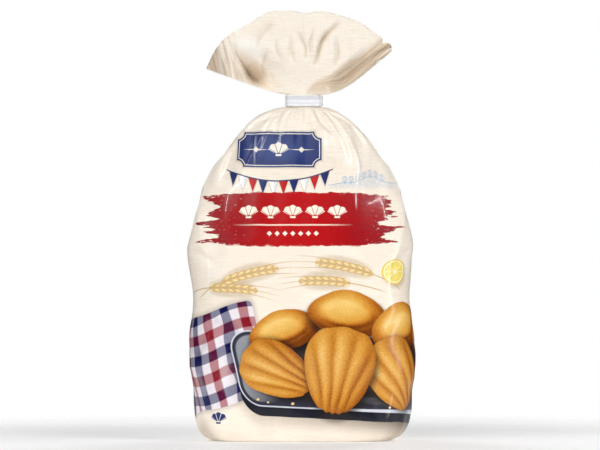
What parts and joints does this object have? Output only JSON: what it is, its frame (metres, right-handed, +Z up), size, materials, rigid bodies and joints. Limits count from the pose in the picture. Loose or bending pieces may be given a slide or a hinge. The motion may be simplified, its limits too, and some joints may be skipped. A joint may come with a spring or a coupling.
{
  "type": "film bag of madeleine cakes",
  "caption": "Shut printed film bag of small shell-shaped cakes, standing on its base, with a flat neck held by a white strip clip and a fan-shaped ruff above.",
  "frame": {"origin": "middle of the base, on the surface the bag stands on", "axes": "+Z up, the front panel faces -Y, +X to the right as the front is seen"},
  "size_m": [0.159, 0.083, 0.3008],
  "materials": {
    "film": "gloss",
    "clip": "satin"
  },
  "bodies": {
    "root": {"bag": "film", "clip": "clip"}
  },
  "joints": []
}
